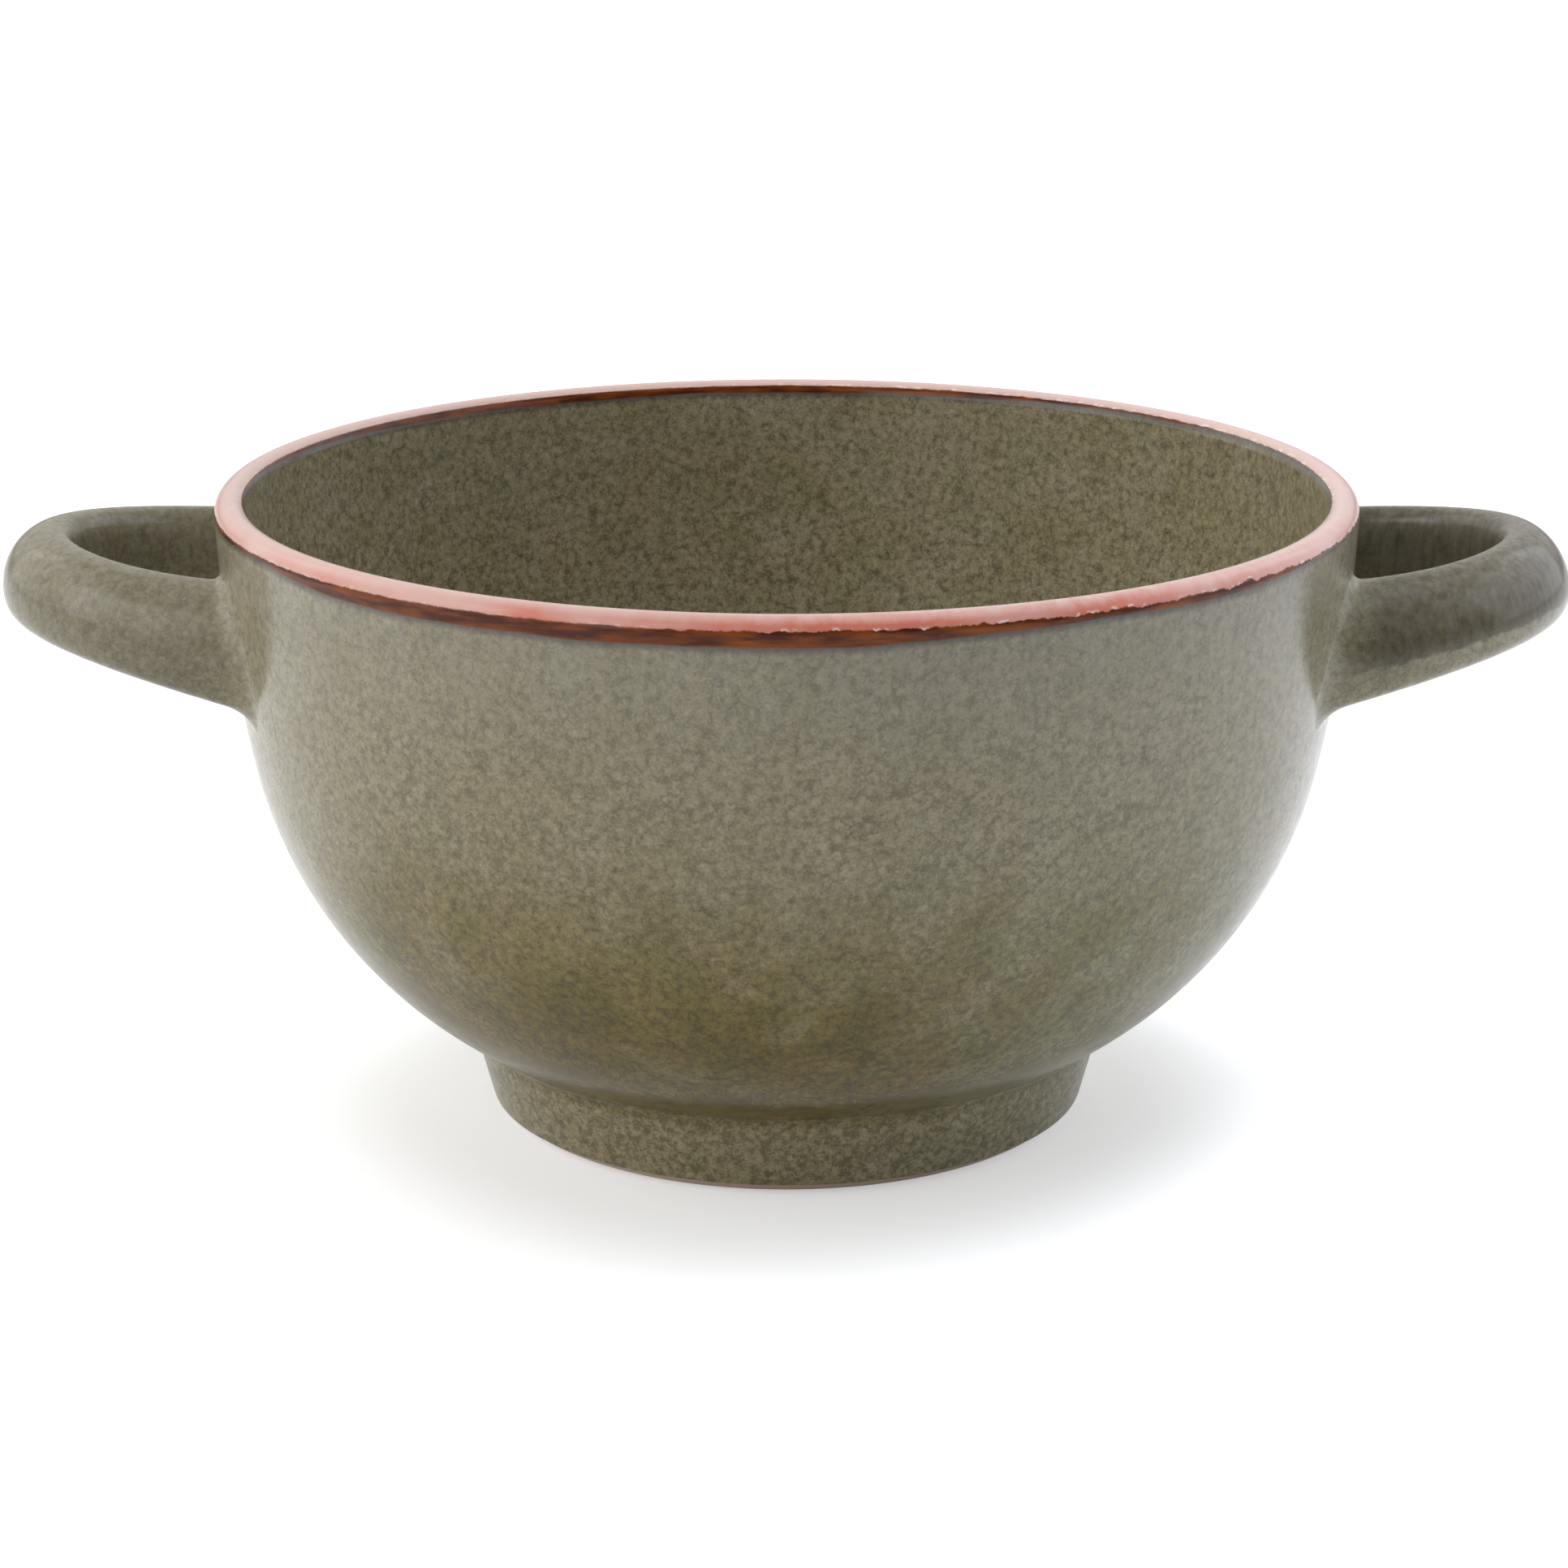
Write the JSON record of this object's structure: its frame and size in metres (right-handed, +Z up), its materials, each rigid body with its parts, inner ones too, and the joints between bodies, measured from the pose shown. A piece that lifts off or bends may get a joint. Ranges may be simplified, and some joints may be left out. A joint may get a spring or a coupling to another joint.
{
  "type": "lug soup bowl",
  "caption": "Deep round stoneware soup bowl on a ring foot, with a strap loop handle on each side below the rim, in mottled olive glaze with a pale lip.",
  "frame": {"origin": "on the table, in the middle of the foot ring", "axes": "+X through the right handle, +Z up through the mouth of the bowl"},
  "size_m": [0.194, 0.14, 0.0795],
  "materials": {
    "stoneware_clay": "fired, bare at the standing edge of the foot",
    "luting_slip": "fired slip, under the glaze",
    "olive_glaze": "glossy, mottled and speckled reactive glaze",
    "liner_glaze": "glossy, mottled, a little darker than outside",
    "lip_glaze": "glossy, pale pink",
    "iron_glaze": "glossy dark iron brown, uneven edge"
  },
  "bodies": {
    "root": {"bowl_body": "stoneware_clay", "foot_ring": "stoneware_clay", "foot_slip": "luting_slip", "left_handle": "stoneware_clay", "right_handle": "stoneware_clay", "left_handle_slip": "luting_slip", "right_handle_slip": "luting_slip", "outer_glaze": "olive_glaze", "inner_glaze": "liner_glaze", "base_glaze": "olive_glaze", "left_handle_glaze": "olive_glaze", "right_handle_glaze": "olive_glaze", "rim_band": "lip_glaze", "outer_iron_band": "iron_glaze", "inner_iron_band": "iron_glaze"}
  },
  "joints": []
}
